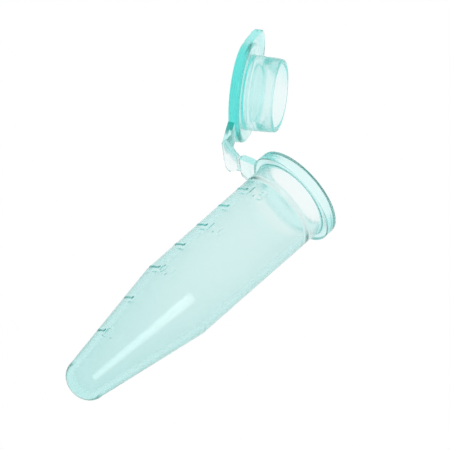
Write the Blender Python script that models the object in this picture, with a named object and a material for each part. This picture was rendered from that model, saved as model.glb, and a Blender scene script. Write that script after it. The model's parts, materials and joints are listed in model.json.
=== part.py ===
# Microcentrifuge tube with an attached snap cap, standing mouth up, metres, +Z up.
# Origin: centre of the collar's underside, the plane that rests on a rack.
import bpy
import bmesh
import math
from mathutils import Matrix, Vector

for old in list(bpy.data.objects):
    bpy.data.objects.remove(old, do_unlink=True)

MM = 0.001

# tube
BARREL_R = 5.35 * MM
BARREL_DRAFT = 0.09 * MM
KINK_R = BARREL_R - BARREL_DRAFT
KINK_Z = -20.75 * MM
TIP_R = 2.8 * MM
TIP_ROUND = 2.35 * MM
TUBE_LENGTH = 40.5 * MM
WALL = 0.95 * MM
BASE_THICKNESS = 1.1 * MM
RIM_Z = 1.7 * MM
MOULD_GAP = 0.03 * MM

# mouth
NECK_WALL = 0.51 * MM
BORE_R = BARREL_R - NECK_WALL
NECK_BOTTOM_Z = -2.95 * MM
LIP_CHAMFER = 0.3 * MM
COLLAR_WIDTH = 1.0 * MM
COLLAR_R = BARREL_R + COLLAR_WIDTH
COLLAR_ROUND = 0.3 * MM
LEDGE_WIDTH = 0.47 * MM
LEDGE_R = BORE_R - LEDGE_WIDTH
LEDGE_TOP_Z = -2.3 * MM

# hinge
ROOT_TAB_REACH = 2.45 * MM
TUBE_AXIS_X = -(COLLAR_R + ROOT_TAB_REACH)
TUBE_AXIS_Z = 0.3 * MM
STRAP_LEAN = 1.2 * MM
STRAP_THICKNESS = 0.55 * MM
STRAP_NECK_HALF = 1.5 * MM
STRAP_HEAD_HALF = 2.85 * MM
STRAP_HEAD_LENGTH = 1.3 * MM
STRAP_HEAD_CORNER = 0.45 * MM
STRAP_NECK_LENGTH = 0.35 * MM
FILM_THICKNESS = 0.2 * MM
FILM_EDGE_THICKNESS = 0.26 * MM
FILM_HALF_SPAN = 0.22 * MM
ROOT_TAB_HALF = 2.1 * MM
ROOT_TAB_THICKNESS = 0.95 * MM

# cap
CAP_OVERHANG = 0.05 * MM
CAP_R = COLLAR_R + CAP_OVERHANG
CAP_THICKNESS = 1.35 * MM
CAP_ROUND = 0.25 * MM
CAP_AXIS_DEPTH = 0.1 * MM
CAP_AXIS_LIFT = CAP_THICKNESS - CAP_AXIS_DEPTH
CAP_OPEN_DEG = 120.5
CAP_TAB_HALF = 1.5 * MM
CAP_TAB_TIP_THICKNESS = 0.45 * MM
CAP_TAB_ROOT_THICKNESS = 1.05 * MM
CAP_TAB_STEP = 0.5 * MM
THUMB_LENGTH = 3.2 * MM
THUMB_ROOT_HALF = 4.8 * MM
THUMB_TIP_R = 2.5 * MM
THUMB_THICKNESS = 1.2 * MM

# plug
PLUG_PLAY = 0.12 * MM
PLUG_R = BORE_R - PLUG_PLAY
PLUG_WALL = 0.75 * MM
PLUG_LENGTH = 3.8 * MM
PLUG_TAPER = 0.25 * MM
PLUG_CLEARANCE = 0.05 * MM
BEAD_Z = 1.1 * MM
BEAD_HALF = 0.3 * MM

# graduations
RIDGE_HEIGHT = 0.14 * MM
RIDGE_GAP = 0.02 * MM
BAR_WIDTH = 0.42 * MM
BAR_START_DEG = 221.0
BAR_END_DEG = 243.0
DIGIT_START_DEG = 246.0
DIGIT_HEIGHT = 1.5 * MM
DIGIT_WIDTH = 0.85 * MM
DIGIT_STROKE = 0.22 * MM
DIGIT_PITCH = 1.15 * MM
DOT_PITCH = 0.65 * MM
MARKS = {
    "0_1": (0.804, "0.1"),
    "0_25": (0.662, ""),
    "0_5": (0.528, "0.5"),
    "0_75": (0.412, ""),
    "1_0": (0.309, "1.0"),
    "1_25": (0.209, ""),
    "1_5": (0.121, "1.5"),
}

SEGMENTS = 96
MERGE_DISTANCE = 0.0001 * MM
TIP_STEPS = 10


def plastic(name, colour, alpha):
    mat = bpy.data.materials.new(name)
    mat.use_nodes = True
    shader = mat.node_tree.nodes["Principled BSDF"]
    shader.inputs["Base Color"].default_value = (*colour, 1.0)
    shader.inputs["Roughness"].default_value = 0.22
    shader.inputs["Alpha"].default_value = alpha
    return mat


TUBE_PLASTIC = plastic("tube_plastic", (0.62, 0.90, 0.88), 0.55)
CAP_PLASTIC = plastic("cap_plastic", (0.48, 0.87, 0.85), 0.6)
HINGE_PLASTIC = plastic("hinge_plastic", (0.66, 0.92, 0.90), 0.55)
RIDGE_PLASTIC = plastic("graduation_plastic", (0.50, 0.84, 0.81), 0.7)


def add_node(name, bm, mat, pivot=(0.0, 0.0, 0.0), smooth=True):
    bmesh.ops.recalc_face_normals(bm, faces=bm.faces[:])
    if bm.calc_volume(signed=True) < 0.0:
        bmesh.ops.reverse_faces(bm, faces=bm.faces[:])
    bmesh.ops.translate(bm, verts=bm.verts[:], vec=-Vector(pivot))
    mesh = bpy.data.meshes.new(name)
    bm.to_mesh(mesh)
    bm.free()
    mesh.materials.append(mat)
    if smooth:
        mesh.polygons.foreach_set("use_smooth", [True] * len(mesh.polygons))
    node = bpy.data.objects.new(name, mesh)
    node.location = pivot
    bpy.context.scene.collection.objects.link(node)
    return node


def revolved(profile, place=Matrix.Identity(4)):
    """Spins a (radius, height) outline once around Z; ends at radius 0 become poles."""
    bm = bmesh.new()
    corners = [bm.verts.new((radius, 0.0, height)) for radius, height in profile]
    sides = [bm.edges.new(pair) for pair in zip(corners, corners[1:])]
    if profile[0][0] > 0.0:
        sides.append(bm.edges.new((corners[-1], corners[0])))
    bmesh.ops.spin(bm, geom=corners + sides, cent=(0.0, 0.0, 0.0), axis=(0.0, 0.0, 1.0),
                   angle=2.0 * math.pi, steps=SEGMENTS, use_merge=True)
    bmesh.ops.remove_doubles(bm, verts=bm.verts[:], dist=MERGE_DISTANCE)
    bmesh.ops.transform(bm, matrix=place, verts=bm.verts[:])
    return bm


def prism(outline, low, high, place=Matrix.Identity(4)):
    """Plate between two heights from a flat outline."""
    bm = bmesh.new()
    face = bm.faces.new([bm.verts.new((x, y, low)) for x, y in outline])
    raised = bmesh.ops.extrude_face_region(bm, geom=[face])
    top = [item for item in raised["geom"] if isinstance(item, bmesh.types.BMVert)]
    bmesh.ops.translate(bm, verts=top, vec=(0.0, 0.0, high - low))
    bmesh.ops.transform(bm, matrix=place, verts=bm.verts[:])
    return bm


def arc_points(radius, start_deg, end_deg, steps, centre=(0.0, 0.0)):
    points = []
    for step in range(steps + 1):
        angle = math.radians(start_deg + (end_deg - start_deg) * step / steps)
        points.append((centre[0] + radius * math.cos(angle), centre[1] + radius * math.sin(angle)))
    return points


# tube wall: cylindrical barrel, then the cone with its rounded blind end
TIP_Z = RIM_Z - TUBE_LENGTH
BARREL_TOP_Z = NECK_BOTTOM_Z - MOULD_GAP


def outer_radius(z):
    if z >= KINK_Z:
        return BARREL_R + (KINK_R - BARREL_R) * z / KINK_Z
    share = (KINK_Z - z) / (KINK_Z - (TIP_Z + TIP_ROUND))
    return KINK_R + (TIP_R - KINK_R) * share


CONE_TOP_Z = KINK_Z - MOULD_GAP
add_node("barrel", revolved([
    (outer_radius(BARREL_TOP_Z), BARREL_TOP_Z),
    (outer_radius(KINK_Z * 0.5), KINK_Z * 0.5),
    (KINK_R, KINK_Z),
    (KINK_R - WALL, KINK_Z),
    (outer_radius(KINK_Z * 0.5) - WALL, KINK_Z * 0.5),
    (outer_radius(BARREL_TOP_Z) - WALL, BARREL_TOP_Z),
]), TUBE_PLASTIC)

cone_outer = [(outer_radius(CONE_TOP_Z), CONE_TOP_Z)]
cone_inner = [(outer_radius(CONE_TOP_Z) - WALL, CONE_TOP_Z)]
inner_round = TIP_R - WALL
for step in range(TIP_STEPS + 1):
    angle = 0.5 * math.pi * step / TIP_STEPS
    side = math.cos(angle)
    drop = math.sin(angle)
    inner_z = TIP_Z + TIP_ROUND - (TIP_ROUND - BASE_THICKNESS) * drop
    outer_z = TIP_Z + TIP_ROUND - TIP_ROUND * drop
    last = step == TIP_STEPS
    cone_outer.append((0.0 if last else TIP_R * side, outer_z))
    cone_inner.append((0.0 if last else inner_round * side, inner_z))
add_node("cone", revolved(cone_outer[::-1] + cone_inner), TUBE_PLASTIC)

# mouth: thin neck sleeve, the ledge at its foot and the collar around it
NECK_R = BARREL_R
add_node("neck", revolved([
    (NECK_R, NECK_BOTTOM_Z),
    (NECK_R, RIM_Z),
    (BORE_R + LIP_CHAMFER, RIM_Z),
    (BORE_R, RIM_Z - LIP_CHAMFER),
    (BORE_R, NECK_BOTTOM_Z),
]), TUBE_PLASTIC)
LEDGE_OUTER_R = BORE_R - MOULD_GAP
add_node("seal_ledge", revolved([
    (LEDGE_R, NECK_BOTTOM_Z),
    (LEDGE_OUTER_R, NECK_BOTTOM_Z),
    (LEDGE_OUTER_R, LEDGE_TOP_Z),
    (LEDGE_R, LEDGE_TOP_Z - 0.5 * (LEDGE_OUTER_R - LEDGE_R)),
]), TUBE_PLASTIC)
COLLAR_INNER_R = NECK_R + MOULD_GAP
add_node("collar", revolved([
    (COLLAR_INNER_R, 0.0),
    (COLLAR_R - COLLAR_ROUND * 0.5, 0.0),
    (COLLAR_R, COLLAR_ROUND * 0.5),
    (COLLAR_R, RIM_Z - COLLAR_ROUND),
    (COLLAR_R - COLLAR_ROUND * 0.3, RIM_Z - COLLAR_ROUND * 0.3),
    (COLLAR_R - COLLAR_ROUND, RIM_Z),
    (COLLAR_INNER_R, RIM_Z),
]), TUBE_PLASTIC)

# hinge tab on the collar, from the collar's edge out to the first film
ROOT_INNER_R = COLLAR_R + MOULD_GAP
root_half_deg = math.degrees(math.asin(ROOT_TAB_HALF / ROOT_INNER_R))
root_outline = arc_points(ROOT_INNER_R, 180.0 - root_half_deg, 180.0 + root_half_deg, 8)
ROOT_END_X = TUBE_AXIS_X + FILM_HALF_SPAN + MOULD_GAP
root_outline += [(ROOT_END_X, -STRAP_NECK_HALF), (ROOT_END_X, STRAP_NECK_HALF)]
root_low = TUBE_AXIS_Z - 0.5 * ROOT_TAB_THICKNESS
add_node("collar_hinge_tab", prism(root_outline, root_low, root_low + ROOT_TAB_THICKNESS),
         HINGE_PLASTIC, smooth=False)


def film(name, centre_x, centre_z, half_width, pivot, place=Matrix.Identity(4)):
    """Thin flexing web on a hinge axis, waisted in the middle."""
    waist = 0.5 * FILM_THICKNESS
    edge = 0.5 * FILM_EDGE_THICKNESS
    span = FILM_HALF_SPAN
    section = []
    for x, z in ((-span, -edge), (0.0, -waist), (span, -edge), (span, edge), (0.0, waist), (-span, edge)):
        section.append((centre_x + x, centre_z + z))
    along_y = place @ Matrix.Rotation(math.radians(90.0), 4, "X")
    add_node(name, prism(section, -half_width, half_width, along_y), HINGE_PLASTIC, pivot,
             smooth=False)


# the strap is as long as it must be to reach the shut cap's fold, leaning outwards on its way up
shut_rise = RIM_Z + MOULD_GAP + CAP_AXIS_LIFT - TUBE_AXIS_Z
STRAP_LENGTH = math.hypot(shut_rise, STRAP_LEAN)
CAP_AXIS_REACH = STRAP_LEAN - TUBE_AXIS_X

tube_axis = Vector((TUBE_AXIS_X, 0.0, TUBE_AXIS_Z))
cap_axis = Vector((TUBE_AXIS_X - STRAP_LENGTH, 0.0, TUBE_AXIS_Z))
film("film_collar_side", TUBE_AXIS_X, TUBE_AXIS_Z, STRAP_NECK_HALF, tube_axis)

# strap: narrow at the collar, wide and blunt-cornered at the cap, thinned where it meets the cap's film
strap_in = TUBE_AXIS_X - FILM_HALF_SPAN - MOULD_GAP
strap_out = cap_axis.x + FILM_HALF_SPAN + MOULD_GAP
corner = STRAP_HEAD_CORNER
flare_x = strap_out + STRAP_HEAD_LENGTH
strap_half = [
    (strap_in, STRAP_NECK_HALF),
    (strap_in - STRAP_NECK_LENGTH, STRAP_NECK_HALF),
    (flare_x, STRAP_HEAD_HALF - corner),
    (flare_x - corner, STRAP_HEAD_HALF),
    (strap_out + corner, STRAP_HEAD_HALF),
    (strap_out, STRAP_HEAD_HALF - corner),
]
strap_outline = strap_half + [(x, -y) for x, y in reversed(strap_half)]
strap_low = TUBE_AXIS_Z - 0.5 * STRAP_THICKNESS
strap = prism(strap_outline, strap_low, strap_low + STRAP_THICKNESS)
film_side_edges = []
for edge in strap.edges:
    start, end = (vert.co for vert in edge.verts)
    if max(start.x, end.x) < strap_out + MERGE_DISTANCE and abs(start.z - end.z) < MERGE_DISTANCE:
        film_side_edges.append(edge)
bmesh.ops.bevel(strap, geom=film_side_edges, affect="EDGES", segments=1, profile=0.5, material=-1,
                offset=0.5 * (STRAP_THICKNESS - FILM_EDGE_THICKNESS))
add_node("strap", strap, HINGE_PLASTIC, tube_axis, smooth=False)

# cap, drawn closed with its underside at the height 0 and its centre on Z, then opened
opening = Matrix.Rotation(-math.radians(CAP_OPEN_DEG), 4, "Y")
cap_place = (Matrix.Translation(cap_axis) @ opening
             @ Matrix.Translation(Vector((CAP_AXIS_REACH, 0.0, -CAP_AXIS_LIFT))))

add_node("cap_disc", revolved([
    (0.0, 0.0),
    (CAP_R - CAP_ROUND, 0.0),
    (CAP_R, CAP_ROUND),
    (CAP_R, CAP_THICKNESS - CAP_ROUND),
    (CAP_R - CAP_ROUND * 0.3, CAP_THICKNESS - CAP_ROUND * 0.3),
    (CAP_R - CAP_ROUND, CAP_THICKNESS),
    (0.0, CAP_THICKNESS),
], cap_place), CAP_PLASTIC, cap_axis)
PLUG_TOP = -MOULD_GAP
PLUG_END = PLUG_TOP - PLUG_LENGTH
PLUG_INNER_R = PLUG_R - PLUG_WALL
add_node("plug", revolved([
    (PLUG_R, PLUG_TOP),
    (PLUG_R, PLUG_END + 2.0 * PLUG_TAPER),
    (PLUG_R - 0.4 * PLUG_TAPER, PLUG_END + 0.4 * PLUG_TAPER),
    (PLUG_R - PLUG_TAPER, PLUG_END),
    (PLUG_INNER_R + 0.4 * PLUG_TAPER, PLUG_END),
    (PLUG_INNER_R, PLUG_END + 0.8 * PLUG_TAPER),
    (PLUG_INNER_R, PLUG_TOP),
], cap_place), CAP_PLASTIC, cap_axis)
BEAD_R = BORE_R - PLUG_CLEARANCE
BEAD_INNER_R = PLUG_R + 0.5 * MOULD_GAP
add_node("plug_bead", revolved([
    (BEAD_INNER_R, -BEAD_Z - BEAD_HALF),
    (BEAD_R, -BEAD_Z - 0.4 * BEAD_HALF),
    (BEAD_R, -BEAD_Z + 0.4 * BEAD_HALF),
    (BEAD_INNER_R, -BEAD_Z + BEAD_HALF),
], cap_place), CAP_PLASTIC, cap_axis)

# thumb tab, flush with the cap's top
EDGE_R = CAP_R + MOULD_GAP
thumb_half_deg = math.degrees(math.asin(THUMB_ROOT_HALF / EDGE_R))
thumb_outline = arc_points(EDGE_R, thumb_half_deg, -thumb_half_deg, 12)
thumb_centre_x = CAP_R + THUMB_LENGTH - THUMB_TIP_R
thumb_outline += arc_points(THUMB_TIP_R, -60.0, 60.0, 8, (thumb_centre_x, 0.0))
add_node("thumb_tab", prism(thumb_outline, CAP_THICKNESS - THUMB_THICKNESS, CAP_THICKNESS, cap_place),
         CAP_PLASTIC, cap_axis, smooth=False)

# hinge tab on the cap: its side profile is full height at the disc and thins down to the film
CAP_TAB_END = -CAP_AXIS_REACH + FILM_HALF_SPAN + MOULD_GAP
tab_profile = [
    (-EDGE_R, CAP_THICKNESS),
    (CAP_TAB_END, CAP_THICKNESS),
    (CAP_TAB_END, CAP_AXIS_LIFT - 0.5 * FILM_EDGE_THICKNESS),
    (CAP_TAB_END + CAP_TAB_STEP, CAP_THICKNESS - CAP_TAB_TIP_THICKNESS),
    (CAP_TAB_END + 2.5 * CAP_TAB_STEP, CAP_THICKNESS - CAP_TAB_ROOT_THICKNESS),
    (-EDGE_R, CAP_THICKNESS - CAP_TAB_ROOT_THICKNESS),
]
sideways = Matrix.Rotation(math.radians(90.0), 4, "X")
add_node("cap_hinge_tab", prism(tab_profile, -CAP_TAB_HALF, CAP_TAB_HALF, cap_place @ sideways),
         CAP_PLASTIC, cap_axis, smooth=False)
film("film_cap_side", -CAP_AXIS_REACH, CAP_AXIS_LIFT, CAP_TAB_HALF, cap_axis, cap_place)


def ridge(name, stroke, closed, width, azimuth_deg, height_z):
    """Raised moulded line on the tube wall; stroke points are (along the girth, up)."""
    count = len(stroke)
    left = []
    right = []
    for i in range(count):
        here = Vector(stroke[i])
        before = Vector(stroke[i - 1]) if (i > 0 or closed) else None
        after = Vector(stroke[(i + 1) % count]) if (i < count - 1 or closed) else None
        first = (here - before).normalized() if before is not None else None
        second = (after - here).normalized() if after is not None else None
        first = second if first is None else first
        second = first if second is None else second
        tangent = (first + second).normalized()
        normal = Vector((-tangent.y, tangent.x))
        reach = 0.5 * width / max(0.6, normal.dot(Vector((-first.y, first.x))))
        left.append(here + normal * reach)
        right.append(here - normal * reach)
    bm = bmesh.new()
    left_verts = [bm.verts.new((point.x, point.y, RIDGE_GAP)) for point in left]
    right_verts = [bm.verts.new((point.x, point.y, RIDGE_GAP)) for point in right]
    for i in range(count if closed else count - 1):
        j = (i + 1) % count
        bm.faces.new((left_verts[i], left_verts[j], right_verts[j], right_verts[i]))
    raised = bmesh.ops.extrude_face_region(bm, geom=bm.faces[:])
    top = [item for item in raised["geom"] if isinstance(item, bmesh.types.BMVert)]
    bmesh.ops.translate(bm, verts=top, vec=(0.0, 0.0, RIDGE_HEIGHT - RIDGE_GAP))
    for vert in bm.verts:
        z = height_z + vert.co.y
        radius = outer_radius(z)
        angle = math.radians(azimuth_deg) + vert.co.x / radius
        far = radius + vert.co.z
        vert.co = (far * math.cos(angle), far * math.sin(angle), z)
    add_node(name, bm, RIDGE_PLASTIC, smooth=False)


def line(a, b, steps):
    points = []
    for step in range(steps + 1):
        share = step / steps
        points.append((a[0] + (b[0] - a[0]) * share, a[1] + (b[1] - a[1]) * share))
    return points


half_w = 0.5 * (DIGIT_WIDTH - DIGIT_STROKE)
half_h = 0.5 * (DIGIT_HEIGHT - DIGIT_STROKE)
zero_path = []
for step in range(24):
    turn = 2.0 * math.pi * step / 24
    zero_path.append((half_w * math.cos(turn), half_h * math.sin(turn)))
five_path = [(half_w, half_h), (-half_w, half_h), (-half_w, 0.12 * half_h)]
for step in range(9):
    turn = math.radians(118.0 - 28.0 * step)
    five_path.append((-0.08 * half_w + half_w * 1.08 * math.cos(turn),
                      -0.38 * half_h + half_h * 0.62 * math.sin(turn)))
DIGITS = {
    "0": (zero_path, True),
    "1": (line((0.0, -half_h), (0.0, half_h), 2), False),
    "5": (five_path, False),
    ".": (line((0.0, -half_h - 0.05 * MM), (0.0, -half_h + 0.16 * MM), 1), False),
}
DIGIT_NAMES = {"0": "zero", "1": "one", "5": "five", ".": "point"}

for label, (share, text) in MARKS.items():
    mark_z = share * TIP_Z
    radius = outer_radius(mark_z)
    bar_length = math.radians(BAR_END_DEG - BAR_START_DEG) * radius
    ridge("bar_" + label, line((0.0, 0.0), (bar_length, 0.0), 10), False, BAR_WIDTH,
          BAR_START_DEG, mark_z)
    along = math.radians(DIGIT_START_DEG - BAR_START_DEG) * radius
    for place_no, character in enumerate(text):
        path, closed = DIGITS[character]
        along += 0.5 * (DOT_PITCH if character == "." else DIGIT_PITCH)
        shifted = [(x + along, y) for x, y in path]
        along += 0.5 * (DOT_PITCH if character == "." else DIGIT_PITCH)
        ridge("digit_%s_%s_%d" % (label, DIGIT_NAMES[character], place_no), shifted, closed,
              DIGIT_STROKE, BAR_START_DEG, mark_z)
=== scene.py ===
import json
import math

import bmesh
import bpy
from mathutils import Matrix, Vector
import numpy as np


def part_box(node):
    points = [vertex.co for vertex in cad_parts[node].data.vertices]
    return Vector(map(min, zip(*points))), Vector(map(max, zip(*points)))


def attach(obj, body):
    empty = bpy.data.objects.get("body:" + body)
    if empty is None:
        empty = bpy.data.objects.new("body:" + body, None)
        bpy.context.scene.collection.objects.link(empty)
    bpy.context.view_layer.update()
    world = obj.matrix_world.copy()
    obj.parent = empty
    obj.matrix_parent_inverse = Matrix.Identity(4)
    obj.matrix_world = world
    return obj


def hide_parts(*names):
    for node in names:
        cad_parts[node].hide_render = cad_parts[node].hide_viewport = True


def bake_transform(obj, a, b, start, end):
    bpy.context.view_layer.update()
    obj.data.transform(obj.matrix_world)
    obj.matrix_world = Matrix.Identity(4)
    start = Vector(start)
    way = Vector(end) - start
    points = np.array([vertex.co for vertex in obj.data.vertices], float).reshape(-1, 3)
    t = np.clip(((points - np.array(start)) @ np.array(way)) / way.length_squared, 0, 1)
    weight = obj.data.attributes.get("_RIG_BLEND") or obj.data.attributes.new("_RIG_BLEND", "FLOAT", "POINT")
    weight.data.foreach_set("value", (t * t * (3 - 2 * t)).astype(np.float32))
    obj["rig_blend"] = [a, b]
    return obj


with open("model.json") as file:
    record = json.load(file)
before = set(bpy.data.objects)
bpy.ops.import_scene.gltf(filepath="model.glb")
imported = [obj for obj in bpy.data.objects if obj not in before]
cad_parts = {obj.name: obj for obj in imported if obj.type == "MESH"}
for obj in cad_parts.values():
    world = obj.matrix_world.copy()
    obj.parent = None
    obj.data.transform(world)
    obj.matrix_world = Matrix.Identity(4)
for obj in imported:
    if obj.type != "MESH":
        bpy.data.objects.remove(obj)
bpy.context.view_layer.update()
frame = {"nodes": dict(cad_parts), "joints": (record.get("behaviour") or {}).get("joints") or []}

scene = bpy.context.scene
mm = 0.001
joinDistance = 0.0004 * mm


# sizes and places read off the frame
joints = {joint["name"]: joint for joint in frame["joints"]}
collarFold = Vector(joints["collar_fold"]["pos_m"])
capFold = Vector(joints["cap_fold"]["pos_m"])
shutTurn = -math.radians(joints["collar_fold"]["range_deg"][0])  # strap's swing up to the shut cap
openTurn = shutTurn - math.radians(joints["cap_fold"]["range_deg"][0])  # cap's swing from shut to open

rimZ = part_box("neck")[1].z
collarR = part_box("collar")[1].x
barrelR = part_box("neck")[1].x
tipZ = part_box("cone")[0].z
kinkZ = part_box("barrel")[0].z
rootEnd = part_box("collar_hinge_tab")[0]
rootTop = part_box("collar_hinge_tab")[1]
strapLow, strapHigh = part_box("strap")

# the cap is drawn shut, its underside at the height 0 and its middle on Z, then swung open
seatGap = 0.03 * mm
shutFold = collarFold + Matrix.Rotation(shutTurn, 3, "Y") @ (capFold - collarFold)
foldReach = -shutFold.x
foldLift = shutFold.z - rimZ - seatGap
openCap = (Matrix.Translation(capFold) @ Matrix.Rotation(-openTurn, 4, "Y")
           @ Matrix.Translation(Vector((foldReach, 0.0, -foldLift))))
print("frame read, cap open by", round(math.degrees(openTurn), 1), "degrees")


# camera, floor and light
viewing = {
    "azimuth": 32.05, "elevation": -24.27, "roll": 48.64,  # degrees, from below the collar
    "distance": 1000.0 * mm,
    "fieldWidth": 55.6 * mm,
    "aim": Vector((-2.3, -1.92, -9.09)) * mm,
}


def makeCamera(v):
    a = math.radians(v["azimuth"])
    e = math.radians(v["elevation"])
    back = Vector((math.sin(a) * math.cos(e), -math.cos(a) * math.cos(e), math.sin(e)))
    right = Vector((math.cos(a), math.sin(a), 0.0))
    turn = Matrix((right, back.cross(right), back)).transposed()
    turn = turn @ Matrix.Rotation(math.radians(v["roll"]), 3, "Z")
    data = bpy.data.cameras.new("camera")
    data.sensor_width = 36.0
    data.lens = data.sensor_width * v["distance"] / v["fieldWidth"]
    data.clip_start = 0.01
    data.clip_end = 20.0
    camera = bpy.data.objects.new("camera", data)
    camera.matrix_world = Matrix.Translation(v["aim"] + back * v["distance"]) @ turn.to_4x4()
    scene.collection.objects.link(camera)
    scene.camera = camera


studio = {
    # the tube hangs high over the floor, which is nearly as white as the sky
    "floorSize": 6.0, "floorDrop": 460.0 * mm, "floorTint": (0.985, 0.985, 0.985),
    "skyLight": 1.0,
    # a soft box that draws the streak down the cone
    "panelSize": (0.24, 0.09), "panelDistance": 0.5, "panelWay": Vector((0.794, -0.597, 0.117)),
    "panelPower": 0.2,
}


def makeStudio(s):
    world = bpy.data.worlds.new("studio")
    world.use_nodes = True
    world.node_tree.nodes["Background"].inputs["Color"].default_value = (1.0, 1.0, 1.0, 1.0)
    world.node_tree.nodes["Background"].inputs["Strength"].default_value = s["skyLight"]
    scene.world = world

    paper = bpy.data.materials.new("floorPaper")
    paper.use_nodes = True
    shader = paper.node_tree.nodes["Principled BSDF"]
    shader.inputs["Base Color"].default_value = (*s["floorTint"], 1.0)
    shader.inputs["Roughness"].default_value = 0.9
    shader.inputs["Specular IOR Level"].default_value = 0.0
    bm = bmesh.new()
    bmesh.ops.create_grid(bm, x_segments=1, y_segments=1, size=s["floorSize"] * 0.5)
    bmesh.ops.translate(bm, verts=bm.verts[:], vec=(0.0, 0.0, tipZ - s["floorDrop"]))
    mesh = bpy.data.meshes.new("floor")
    bm.to_mesh(mesh)
    bm.free()
    mesh.materials.append(paper)
    floor = bpy.data.objects.new("floor", mesh)
    scene.collection.objects.link(floor)

    light = bpy.data.lights.new("softBox", "AREA")
    light.shape = "RECTANGLE"
    light.size, light.size_y = s["panelSize"]
    light.energy = s["panelPower"]
    panel = bpy.data.objects.new("softBox", light)
    coneMiddle = Vector((0.0, 0.0, (kinkZ + tipZ) * 0.5))
    panel.matrix_world = (Matrix.Translation(coneMiddle + s["panelWay"] * s["panelDistance"])
                          @ s["panelWay"].to_track_quat("Z", "Y").to_matrix().to_4x4())
    scene.collection.objects.link(panel)


makeCamera(viewing)
makeStudio(studio)
scene.view_settings.view_transform = "Standard"
scene.cycles.max_bounces = 32  # light turns many times inside the clear walls
scene.cycles.transmission_bounces = 32
scene.cycles.glossy_bounces = 16
print("camera and studio ready")


# the plastic: clear polypropylene whose tint deepens where light passes through more of it, with painted
# shade darkening its colour towards the tip
plasticLook = {
    "tint": (0.0, 0.9, 0.87), "tintDepth": 165.0,  # absorbed per metre
    "ior": 1.49,
    "roughness": 0.13, "roughnessSpread": 0.07,
    "haze": [(rimZ, (0.985, 0.99, 0.99)), (-4.0 * mm, (0.965, 0.957, 0.952)),  # painted shade: the colour kept by a wall darkens towards the tip, where less light reaches the lower part, and partly stands for the deeper tint of thicker cone walls
             (kinkZ * 0.6, (0.96, 0.957, 0.952)), (tipZ, (0.85, 0.92, 0.915))],
    "rippleSize": 500.0, "rippleDetail": 3.0, "rippleStrength": 0.02, "rippleHeight": 0.02 * mm,
}


def makePlastic(name, look, **changes):
    look = {**look, **changes}
    material = bpy.data.materials.new(name)
    material.use_nodes = True
    nodes = material.node_tree.nodes
    links = material.node_tree.links
    shader = nodes["Principled BSDF"]
    shader.inputs["IOR"].default_value = look["ior"]
    shader.inputs["Transmission Weight"].default_value = 1.0

    place = nodes.new("ShaderNodeTexCoord")
    ripple = nodes.new("ShaderNodeTexNoise")
    ripple.inputs["Scale"].default_value = look["rippleSize"]
    ripple.inputs["Detail"].default_value = look["rippleDetail"]
    links.new(place.outputs["Object"], ripple.inputs["Vector"])

    # the colour ramp changes with height, from the first stop down to the last; on the tube it is painted
    # shade, darker towards the tip
    height = nodes.new("ShaderNodeSeparateXYZ")
    links.new(place.outputs["Object"], height.inputs["Vector"])
    highest = look["haze"][0][0]
    lowest = look["haze"][-1][0]
    reach = nodes.new("ShaderNodeMapRange")
    reach.inputs["From Min"].default_value = highest
    reach.inputs["From Max"].default_value = lowest
    links.new(height.outputs["Z"], reach.inputs["Value"])
    haze = nodes.new("ShaderNodeValToRGB")
    stops = haze.color_ramp.elements
    while len(stops) < len(look["haze"]):
        stops.new(0.5)
    for stop, (z, colour) in zip(stops, look["haze"]):
        stop.position = (highest - z) / (highest - lowest)
        stop.color = (*colour, 1.0)
    links.new(reach.outputs["Result"], haze.inputs["Fac"])
    links.new(haze.outputs["Color"], shader.inputs["Base Color"])

    shine = nodes.new("ShaderNodeMapRange")
    shine.inputs["To Min"].default_value = look["roughness"]
    shine.inputs["To Max"].default_value = look["roughness"] + look["roughnessSpread"]
    links.new(ripple.outputs["Fac"], shine.inputs["Value"])
    links.new(shine.outputs["Result"], shader.inputs["Roughness"])

    bump = nodes.new("ShaderNodeBump")
    bump.inputs["Strength"].default_value = look["rippleStrength"]
    bump.inputs["Distance"].default_value = look["rippleHeight"]
    links.new(ripple.outputs["Fac"], bump.inputs["Height"])
    links.new(bump.outputs["Normal"], shader.inputs["Normal"])

    depth = nodes.new("ShaderNodeVolumeAbsorption")
    depth.inputs["Color"].default_value = (*look["tint"], 1.0)
    depth.inputs["Density"].default_value = look["tintDepth"]
    links.new(depth.outputs["Volume"], nodes["Material Output"].inputs["Volume"])
    return material


tubePlastic = makePlastic("tubePlastic", plasticLook)
# the thumb tab is frosted, and the frost starts at the disc's edge
thumbFrom, thumbTo = [(openCap @ Vector((collarR + away * mm, 0.0, 0.0))).z for away in (-0.6, 0.6)]
capPlastic = makePlastic("capPlastic", plasticLook, tintDepth=170.0, haze=[
    (thumbTo, (0.66, 0.96, 0.955)), (thumbFrom, (0.985, 0.99, 0.99))])
hingePlastic = makePlastic("hingePlastic", plasticLook, tintDepth=130.0)


# mesh helpers
def finishPiece(name, bm, material, smoothAngle=40.0):
    bmesh.ops.remove_doubles(bm, verts=bm.verts[:], dist=joinDistance)
    bmesh.ops.recalc_face_normals(bm, faces=bm.faces[:])
    if bm.calc_volume(signed=True) < 0.0:
        bmesh.ops.reverse_faces(bm, faces=bm.faces[:])
    for face in bm.faces:
        face.smooth = True
    for edge in bm.edges:
        edge.smooth = edge.calc_face_angle(0.0) < math.radians(smoothAngle)
    mesh = bpy.data.meshes.new(name)
    bm.to_mesh(mesh)
    bm.free()
    mesh.materials.append(material)
    piece = bpy.data.objects.new(name, mesh)
    scene.collection.objects.link(piece)
    print(name, "has", sum(len(face.vertices) - 2 for face in mesh.polygons), "triangles")
    return piece


def chain(bm, profile):
    # a line of edges through (radius, height) points in the X-Z plane
    points = [bm.verts.new((r, 0.0, z)) for r, z in profile]
    edges = [bm.edges.new(pair) for pair in zip(points, points[1:])]
    return points + edges


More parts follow.
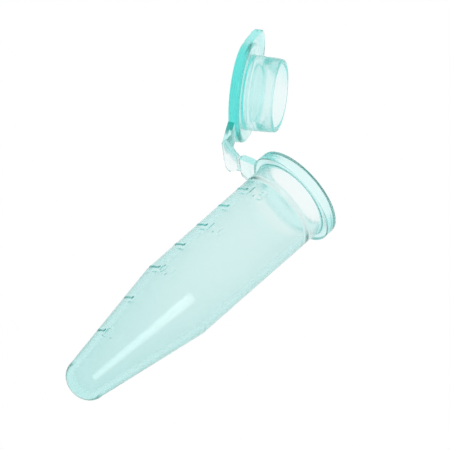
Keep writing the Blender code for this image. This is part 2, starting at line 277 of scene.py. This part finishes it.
def turned(profile, sectors):
    # spins the profile round Z, sector by sector: (start, end, steps) in degrees and counts
    bm = bmesh.new()
    for start, end, steps in sectors:
        line = chain(bm, profile)
        corners = [item for item in line if isinstance(item, bmesh.types.BMVert)]
        bmesh.ops.rotate(bm, verts=corners, cent=(0.0, 0.0, 0.0),
                         matrix=Matrix.Rotation(math.radians(start), 3, "Z"))
        bmesh.ops.spin(bm, geom=line, cent=(0.0, 0.0, 0.0), axis=(0.0, 0.0, 1.0),
                       angle=math.radians(end - start), steps=steps)
    bmesh.ops.remove_doubles(bm, verts=bm.verts[:], dist=joinDistance)
    bmesh.ops.recalc_face_normals(bm, faces=bm.faces[:])
    return bm


def rounded(centre, radius, start, end, steps):
    # profile points on an arc, angles in degrees from outward (+r) towards up (+z)
    points = []
    for step in range(steps + 1):
        angle = math.radians(start + (end - start) * step / steps)
        points.append((centre[0] + radius * math.cos(angle), centre[1] + radius * math.sin(angle)))
    return points


def drawOut(bm, patch, stages):
    # grows a patch of faces step by step; each stage turns (angle round Z, height) into a point
    turnOf = bm.verts.layers.float.new("turn")
    heightOf = bm.verts.layers.float.new("height")
    for point in {point for face in patch for point in face.verts}:
        point[turnOf] = math.atan2(point.co.y, point.co.x)
        point[heightOf] = point.co.z
    faces = patch
    for stage in stages:
        made = bmesh.ops.extrude_face_region(bm, geom=faces)["geom"]
        bmesh.ops.delete(bm, geom=faces, context="FACES_ONLY")
        faces = [item for item in made if isinstance(item, bmesh.types.BMFace)]
        for item in made:
            if isinstance(item, bmesh.types.BMVert):
                item.co = stage(item[turnOf], item[heightOf])
    bm.verts.layers.float.remove(heightOf)
    bm.verts.layers.float.remove(bm.verts.layers.float["turn"])


def smoothStep(x, low, high):
    t = min(1.0, max(0.0, (x - low) / (high - low)))
    return t * t * (3.0 - 2.0 * t)


# tube: one wall from mouth to tip, the collar and its hinge tab, and the scale raised on it
tubeShape = {
    "wall": 0.95 * mm, "draft": 0.09 * mm,
    "tipR": 2.8 * mm, "tipRound": 2.35 * mm, "baseThickness": 1.1 * mm,
    "boreWall": 0.51 * mm, "neckFoot": -2.95 * mm, "neckBlend": 0.9 * mm,
    "ledgeWidth": 0.47 * mm, "ledgeTop": -2.3 * mm, "ledgeFall": 0.85 * mm, "wallStep": 1.5 * mm,
    "lipRound": 0.28 * mm, "collarRound": 0.3 * mm, "collarFillet": 0.35 * mm,
    "rootHalf": 2.1 * mm, "foldHalf": 1.5 * mm, "filmEdge": 0.26 * mm,
}
scaleMarks = {
    "ridgeHeight": 0.11 * mm, "textRise": 0.75, "edgeSoft": 0.18 * mm,
    "barWidth": 0.42 * mm, "barStart": 221.0, "barEnd": 243.0, "textStart": 246.0,  # degrees round
    "textHeight": 1.5 * mm, "textWidth": 0.85 * mm, "stroke": 0.22 * mm,
    "textStep": 1.15 * mm, "dotStep": 0.65 * mm,
    "marks": [("0_1", "0.1"), ("0_25", ""), ("0_5", "0.5"), ("0_75", ""), ("1_0", "1.0"),
              ("1_25", ""), ("1_5", "1.5")],
    # fine faces under the scale, plain ones elsewhere
    "fineStep": 0.065 * mm, "fineFrom": 218.0, "fineTo": 296.0, "plainStep": 1.6 * mm, "plainTurn": 1.5,
}


def outerR(z, t=tubeShape):
    if z > kinkZ:
        return barrelR - t["draft"] * z / kinkZ if z < 0.0 else barrelR
    share = (kinkZ - z) / (kinkZ - tipZ - t["tipRound"])
    return barrelR - t["draft"] + (t["tipR"] - barrelR + t["draft"]) * share


def markHeight(label):
    low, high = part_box("bar_" + label)
    return 0.5 * (low.z + high.z)


def markRows(t, s, roundZ):
    # heights of the rows of faces: close together where a mark stands, wide apart elsewhere
    levels = []
    for label, text in s["marks"]:
        markZ = markHeight(label)
        reach = 0.5 * (s["textHeight"] if text else s["barWidth"]) + s["edgeSoft"]
        count = math.ceil(2.0 * reach / s["fineStep"])
        levels += [markZ - reach + 2.0 * reach * i / count for i in range(count + 1)]
    stops = [roundZ, kinkZ - 0.5 * mm, kinkZ, kinkZ + 0.5 * mm, -t["collarFillet"]]
    levels += [z for z in stops if all(abs(z - other) > s["fineStep"] for other in levels)]
    levels = sorted(z for z in levels if roundZ < z <= -t["collarFillet"])
    plain = []
    for low, high in zip([roundZ] + levels, levels):
        gaps = max(1, math.ceil((high - low) / s["plainStep"]))
        plain += [low + (high - low) * i / gaps for i in range(1, gaps)]
    return sorted(levels + plain)


def outerLine(t, s):
    # bottom pole, up the outside, round the collar and over the lip
    roundZ = tipZ + t["tipRound"]
    line = []
    for step in range(15):
        angle = math.radians(90.0 * step / 14)
        line.append((t["tipR"] * math.sin(angle), roundZ - t["tipRound"] * math.cos(angle)))
    line[0] = (0.0, tipZ)
    line += [(outerR(z), z) for z in markRows(t, s, roundZ)]

    fillet = t["collarFillet"]
    line += rounded((barrelR + fillet, -fillet), fillet, 180.0, 90.0, 9)[1:]
    foot = 0.5 * t["collarRound"]
    line += rounded((collarR - foot, foot), foot, -90.0, 0.0, 7)
    line += [(collarR, z * rimZ) for z in (0.3, 0.5)]
    cr = t["collarRound"]
    line += rounded((collarR - cr, rimZ - cr), cr, 0.0, 90.0, 8)
    lip = t["lipRound"]
    line += rounded((barrelR - t["boreWall"] + lip, rimZ - lip), lip, 90.0, 180.0, 8)
    return line


def innerLine(t):
    # down the bore, over the seal ledge, down the wall and round to the inner pole
    boreR = barrelR - t["boreWall"]
    line = [(boreR, -0.4 * mm), (boreR, -1.2 * mm)]
    for step in range(17):
        share = step / 16
        line.append((boreR - t["ledgeWidth"] * smoothStep(share, 0.0, 1.0),
                     t["ledgeTop"] + (0.5 - share) * t["ledgeFall"]))
    line.append((boreR - t["ledgeWidth"], t["neckFoot"]))

    z = t["neckFoot"] - t["neckBlend"]
    while z > kinkZ + 0.6 * mm:
        line.append((outerR(z) - t["wall"], z))
        z -= t["wallStep"]
    for z in (kinkZ + 0.6 * mm, kinkZ + 0.15 * mm, kinkZ - 0.4 * mm):
        line.append((0.5 * (outerR(z - 0.2 * mm) + outerR(z + 0.2 * mm)) - t["wall"], z))
    roundZ = tipZ + t["tipRound"]
    z = kinkZ - t["wallStep"]
    while z > roundZ + 0.8 * mm:
        line.append((outerR(z) - t["wall"], z))
        z -= t["wallStep"]
    for step in range(12):
        angle = math.radians(90.0 * step / 11)
        drop = (t["tipRound"] - t["baseThickness"]) * math.sin(angle)
        line.append(((t["tipR"] - t["wall"]) * math.cos(angle), roundZ - drop))
    line[-1] = (0.0, line[-1][1])
    return line


def numeralPaths(s):
    # strokes of each numeral about its own middle, along the girth and up
    w = 0.5 * (s["textWidth"] - s["stroke"])
    h = 0.5 * (s["textHeight"] - s["stroke"])
    ring = [(w * math.cos(a), h * math.sin(a)) for a in (math.tau * i / 24 for i in range(25))]
    bowl = [(-0.08 * w + 1.08 * w * math.cos(a), -0.38 * h + 0.62 * h * math.sin(a))
            for a in (math.radians(118.0 - 28.0 * i) for i in range(9))]
    return {
        "0": ring,
        "1": [(-0.5 * w, 0.6 * h), (0.0, h), (0.0, -h)],
        "5": [(w, h), (-w, h), (-w, 0.12 * h)] + bowl,
        ".": [(0.0, -h), (0.0, -h + 0.1 * mm)],
    }


def distanceTo(path, x, y):
    best = 1.0
    for (ax, ay), (bx, by) in zip(path, path[1:]):
        dx, dy = bx - ax, by - ay
        share = ((x - ax) * dx + (y - ay) * dy) / (dx * dx + dy * dy)
        share = min(1.0, max(0.0, share))
        best = min(best, math.hypot(x - ax - dx * share, y - ay - dy * share))
    return best


def raiseScale(bm, s):
    paths = numeralPaths(s)
    soft = 0.5 * s["edgeSoft"]
    reach = 0.5 * s["textHeight"] + s["edgeSoft"]
    points = [v for v in bm.verts if math.hypot(v.co.x, v.co.y) > outerR(v.co.z) - 0.01 * mm]
    for label, text in s["marks"]:
        markZ = markHeight(label)
        r = outerR(markZ)
        middles = []
        along = 0.0
        for letter in text:
            step = s["dotStep"] if letter == "." else s["textStep"]
            middles.append((along + 0.5 * step, paths[letter]))
            along += step
        barLength = math.radians(s["barEnd"] - s["barStart"]) * r
        for v in points:
            if abs(v.co.z - markZ) > reach:
                continue
            turn = math.degrees(math.atan2(v.co.y, v.co.x)) % 360.0
            if not s["barStart"] - 3.0 < turn < s["fineTo"]:
                continue
            y = v.co.z - markZ
            x = math.radians(turn - s["barStart"]) * r
            fromBar = distanceTo([(0.1 * mm, 0.0), (barLength, 0.0)], x, y) - 0.5 * s["barWidth"]
            xText = math.radians(turn - s["textStart"]) * r
            fromText = 1.0
            for middle, path in middles:
                if abs(xText - middle) < s["textStep"]:
                    fromText = min(fromText, distanceTo(path, xText - middle, y) - 0.5 * s["stroke"])
            rise = s["ridgeHeight"] * max(1.0 - smoothStep(fromBar, -soft, soft),
                                          s["textRise"] * (1.0 - smoothStep(fromText, -soft, soft)))
            if rise > 0.0:
                out = Vector((v.co.x, v.co.y, 0.0)).normalized()
                v.co += out * rise


def growRootTab(bm, t):
    # hinge tab drawn out of the collar's edge, narrowing to the fold
    halfTurn = math.asin(t["rootHalf"] / collarR)
    edgeFaces = []
    for face in bm.faces:
        middle = face.calc_center_median()
        aside = math.atan2(middle.y, -middle.x)
        onEdge = math.hypot(middle.x, middle.y) > collarR - 0.1 * mm
        if onEdge and abs(aside) < halfTurn and middle.z < rootTop.z:
            edgeFaces.append(face)
    top = max(point.co.z for face in edgeFaces for point in face.verts)

    def stage(share, low, high, half):
        def place(turn, height):
            across = (math.pi - turn % math.tau) / halfTurn
            edgeX = -collarR * math.cos(across * halfTurn)
            return Vector((edgeX + (rootEnd.x - edgeX) * share, across * half,
                           low + (high - low) * height / top))
        return place

    film = t["filmEdge"]
    drawOut(bm, edgeFaces, [
        stage(0.1, 0.6 * rootEnd.z, 0.6 * rootTop.z + 0.4 * top, t["rootHalf"]),
        stage(0.3, rootEnd.z, rootTop.z, t["rootHalf"]),
        stage(0.9, rootEnd.z, rootTop.z, t["foldHalf"] + 0.1 * mm),
        stage(0.96, rootEnd.z + 0.08 * mm, rootTop.z - 0.08 * mm, t["foldHalf"]),
        stage(1.0, collarFold.z - 0.5 * film, collarFold.z + 0.5 * film, t["foldHalf"]),
    ])


def makeTube(t, s):
    fineSteps = round(math.radians(s["fineTo"] - s["fineFrom"]) * barrelR / s["fineStep"])
    plainSteps = round((360.0 - s["fineTo"] + s["fineFrom"]) / s["plainTurn"])
    sectors = [(s["fineFrom"], s["fineTo"], fineSteps), (s["fineTo"], s["fineFrom"] + 360.0, plainSteps)]
    bm = turned(outerLine(t, s) + innerLine(t), sectors)
    raiseScale(bm, s)
    growRootTab(bm, t)
    return finishPiece("tubeShell", bm, tubePlastic)


tubeShell = makeTube(tubeShape, scaleMarks)
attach(tubeShell, "tube")
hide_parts("barrel", "cone", "neck", "seal_ledge", "collar", "collar_hinge_tab",
            *[node for node in frame["nodes"] if node.startswith(("bar_", "digit_"))])


# cap: disc, hollow plug with its sealing bead, thumb tab and hinge tab in one wall
capShape = {
    "overhang": 0.05 * mm, "thickness": 1.35 * mm, "round": 0.25 * mm, "underRound": 0.52 * mm,
    "plugPlay": 0.12 * mm, "plugWall": 0.75 * mm, "plugLength": 3.83 * mm, "plugRound": 0.24 * mm,
    "plugTaper": 0.08 * mm, "plugFillet": 0.15 * mm, "insideRound": 0.3 * mm,
    "beadZ": -1.1 * mm, "beadHalf": 0.32 * mm, "beadHeight": 0.07 * mm,
    "thumbLength": 3.2 * mm, "thumbTipR": 2.5 * mm, "thumbHalf": 4.8 * mm, "thumbThickness": 1.1 * mm,
    "tabHalf": 1.5 * mm, "tabRoot": 0.8 * mm, "tabEnd": 0.45 * mm, "filmEdge": 0.26 * mm,
    "filmHalf": 0.25 * mm, "thumbTipTurn": 62.0, "turnSteps": 168,
}


def capProfile(c):
    # underside of the disc inside the plug, round the plug's wall, out to the edge and over the top
    top = c["thickness"]
    discR = collarR + c["overhang"]
    plugR = barrelR - tubeShape["boreWall"] - c["plugPlay"]
    innerR = plugR - c["plugWall"]
    end = -c["plugLength"]
    line = [(0.0, 0.0), (1.5 * mm, 0.0), (innerR - 0.5 * mm, 0.0)]
    inside = c["insideRound"]
    line += rounded((innerR - inside, -inside), inside, 90.0, 0.0, 7)
    line += [(innerR, -1.2 * mm), (innerR, -2.2 * mm)]

    pr = c["plugRound"]
    line += rounded((innerR + pr, end + pr), pr, 180.0, 270.0, 7)
    line += rounded((plugR - pr - c["plugTaper"], end + pr), pr, 270.0, 360.0, 7)
    line += [(plugR - 0.25 * c["plugTaper"], end + 0.8 * mm)]
    for step in range(7):
        turn = math.radians(-90.0 + 30.0 * step)
        line.append((plugR + c["beadHeight"] * math.cos(turn), c["beadZ"] + c["beadHalf"] * math.sin(turn)))
    line += [(plugR, -0.35 * mm)]
    root = c["plugFillet"]
    line += rounded((plugR + root, -root), root, 180.0, 90.0, 6)

    line += [(discR - 0.7 * mm, 0.0)]
    under = c["underRound"]
    line += rounded((discR - under, under), under, -90.0, 0.0, 8)
    line += [(discR, 0.5 * top)]
    edge = c["round"]
    line += rounded((discR - edge, top - edge), edge, 0.0, 90.0, 7)
    line += [(discR - 0.8 * mm, top), (2.0 * mm, top), (0.0, top)]
    return line


def rimFaces(bm, c, middleTurn, halfTurn, lowZ):
    # faces of the disc's edge about one direction, above a height
    discR = collarR + c["overhang"]
    found = []
    for face in bm.faces:
        middle = face.calc_center_median()
        turn = (math.atan2(middle.y, middle.x) - middleTurn + math.pi) % math.tau - math.pi
        onEdge = math.hypot(middle.x, middle.y) > discR - 0.9 * c["round"]
        if onEdge and abs(turn) < halfTurn and middle.z > lowZ:
            found.append(face)
    return found


def growThumb(bm, c):
    # thumb tab, level with the cap's top
    discR = collarR + c["overhang"]
    top = c["thickness"]
    lowZ = top - c["thumbThickness"]
    halfTurn = math.asin(c["thumbHalf"] / discR)
    tipX = discR + c["thumbLength"] - c["thumbTipR"]

    def stage(share):
        def place(turn, height):
            tip = math.radians(c["thumbTipTurn"]) * turn / halfTurn
            root = Vector((discR * math.cos(turn), discR * math.sin(turn), 0.0))
            end = Vector((tipX + c["thumbTipR"] * math.cos(tip), c["thumbTipR"] * math.sin(tip), 0.0))
            soft = 0.12 * mm * smoothStep(share, 0.9, 1.0)
            spot = root.lerp(end, share)
            spot.z = lowZ + soft + (top - lowZ - 2.0 * soft) * (height - lowZ) / (top - lowZ)
            return spot
        return place

    drawOut(bm, rimFaces(bm, c, 0.0, halfTurn, lowZ),
            [stage(share) for share in (0.06, 0.3, 0.6, 0.85, 0.96, 1.0)])


def growHingeTab(bm, c):
    # hinge tab, deep at the disc and thin at the fold
    discR = collarR + c["overhang"]
    top = c["thickness"]
    tabLow = top - c["tabRoot"]
    halfTurn = math.asin(c["tabHalf"] / discR)
    endX = -foldReach + c["filmHalf"]

    def stage(share, low, high):
        def place(turn, height):
            across = (math.pi - turn % math.tau) / halfTurn
            edgeX = -discR * math.cos(across * halfTurn)
            return Vector((edgeX + (endX - edgeX) * share, across * c["tabHalf"],
                           low + (high - low) * (height - tabLow) / (top - tabLow)))
        return place

    film = 0.5 * c["filmEdge"]
    drawOut(bm, rimFaces(bm, c, math.pi, halfTurn, tabLow), [
        stage(0.1, tabLow, top),
        stage(0.55, tabLow, top),
        stage(0.78, top - c["tabEnd"], top),
        stage(0.95, foldLift - 1.4 * film, top - 0.02 * mm),
        stage(1.0, foldLift - film, foldLift + film),
    ])


def makeCap(c):
    bm = turned(capProfile(c), [(0.0, 360.0, c["turnSteps"])])
    growThumb(bm, c)
    growHingeTab(bm, c)
    bmesh.ops.transform(bm, matrix=openCap, verts=bm.verts[:])
    return finishPiece("capShell", bm, capPlastic)


capShell = makeCap(capShape)
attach(capShell, "cap")
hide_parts("cap_disc", "plug", "plug_bead", "thumb_tab", "cap_hinge_tab")


# strap between the folds, and the two folds themselves
strapShape = {
    "headHalf": 2.85 * mm, "headLength": 1.3 * mm, "corner": 0.45 * mm,
    "neckHalf": 1.5 * mm, "neckLength": 0.35 * mm,
    "edgeRound": 0.07 * mm, "endRound": 0.15 * mm,
}
foldShape = {"waist": 0.1 * mm, "edge": 0.13 * mm, "span": 0.235 * mm, "lines": 10}


def makeStrap(s):
    inner = strapHigh.x
    outer = strapLow.x
    flare = outer + s["headLength"]
    c = s["corner"]
    side = [(inner, s["neckHalf"]), (inner - s["neckLength"], s["neckHalf"]),
            (flare, s["headHalf"] - c), (flare - c, s["headHalf"]),
            (outer + c, s["headHalf"]), (outer, s["headHalf"] - c)]
    bm = bmesh.new()
    face = bm.faces.new([bm.verts.new((x, y, strapLow.z))
                         for x, y in side + [(x, -y) for x, y in reversed(side)]])
    made = bmesh.ops.extrude_face_region(bm, geom=[face])["geom"]
    raised = [item for item in made if isinstance(item, bmesh.types.BMVert)]
    bmesh.ops.translate(bm, verts=raised, vec=(0.0, 0.0, strapHigh.z - strapLow.z))
    bmesh.ops.recalc_face_normals(bm, faces=bm.faces[:])
    endEdges = [edge for edge in bm.edges
                if all(point.co.x < outer + joinDistance for point in edge.verts)
                and abs(edge.verts[0].co.z - edge.verts[1].co.z) < joinDistance]
    bmesh.ops.bevel(bm, geom=endEdges, offset=s["endRound"], affect="EDGES", segments=3,
                    profile=0.5, material=-1, clamp_overlap=True)
    sharp = [edge for edge in bm.edges if edge.calc_face_angle(0.0) > math.radians(35.0)]
    bmesh.ops.bevel(bm, geom=sharp, offset=s["edgeRound"], affect="EDGES", segments=3,
                    profile=0.5, material=-1, clamp_overlap=True)
    return finishPiece("strapPlate", bm, hingePlastic)


def makeFold(name, middle, half, bend, f):
    # a thin web round the fold line, waisted in the middle, bent by an angle on its way out
    arcR = f["span"] / math.tan(0.5 * bend)
    inside = []
    outside = []
    for i in range(f["lines"] + 1):
        share = i / f["lines"]
        turn = bend * share
        thick = f["waist"] + (f["edge"] - f["waist"]) * (2.0 * share - 1.0) ** 2
        spot = middle + Vector((f["span"] - arcR * math.sin(turn), -half, arcR * (1.0 - math.cos(turn))))
        aside = Vector((math.sin(turn), 0.0, math.cos(turn))) * thick
        inside.append(spot + aside)
        outside.append(spot - aside)
    bm = bmesh.new()
    face = bm.faces.new([bm.verts.new(spot) for spot in inside + outside[::-1]])
    made = bmesh.ops.extrude_face_region(bm, geom=[face])["geom"]
    far = [item for item in made if isinstance(item, bmesh.types.BMVert)]
    bmesh.ops.translate(bm, verts=far, vec=(0.0, 2.0 * half, 0.0))
    return finishPiece(name, bm, hingePlastic)


strapPlate = makeStrap(strapShape)
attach(strapPlate, "strap")
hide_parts("strap")

towardCap = Matrix.Rotation(-openTurn, 3, "Y") @ Vector((1.0, 0.0, 0.0))
capBend = math.pi - openTurn
collarWeb = makeFold("collarWeb", collarFold, strapShape["neckHalf"], 0.01, foldShape)
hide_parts("film_collar_side")
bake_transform(collarWeb, "tube", "strap", start=collarFold + Vector((foldShape["span"], 0.0, 0.0)),
         end=collarFold - Vector((foldShape["span"], 0.0, 0.0)))
capWeb = makeFold("capWeb", capFold, strapShape["neckHalf"], capBend, foldShape)
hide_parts("film_cap_side")
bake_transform(capWeb, "strap", "cap", start=capFold + Vector((foldShape["span"], 0.0, 0.0)),
         end=capFold + towardCap * foldShape["span"])

print("all pieces made")
